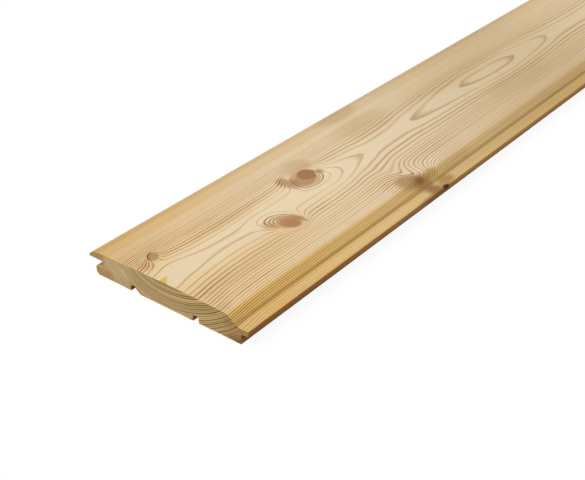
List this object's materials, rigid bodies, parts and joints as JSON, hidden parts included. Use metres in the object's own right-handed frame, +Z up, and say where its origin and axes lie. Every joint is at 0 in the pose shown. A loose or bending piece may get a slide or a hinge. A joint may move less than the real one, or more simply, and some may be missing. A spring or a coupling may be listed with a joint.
{
  "type": "cladding board",
  "caption": "Planed softwood tongue-and-groove cladding board with bevelled weather edges and back relief grooves, laid lip over ledge and nailed to battens.",
  "frame": {"origin": "centre of the board's outline, at the level of its back face", "axes": "+X across the board towards the tongue, +Y along the grain, +Z up out of the weather face"},
  "size_m": [0.145, 2.4, 0.02],
  "materials": {
    "softwood": "planed, unfinished, matt, with knots"
  },
  "bodies": {
    "root": {"cladding_board": "softwood"}
  },
  "joints": []
}
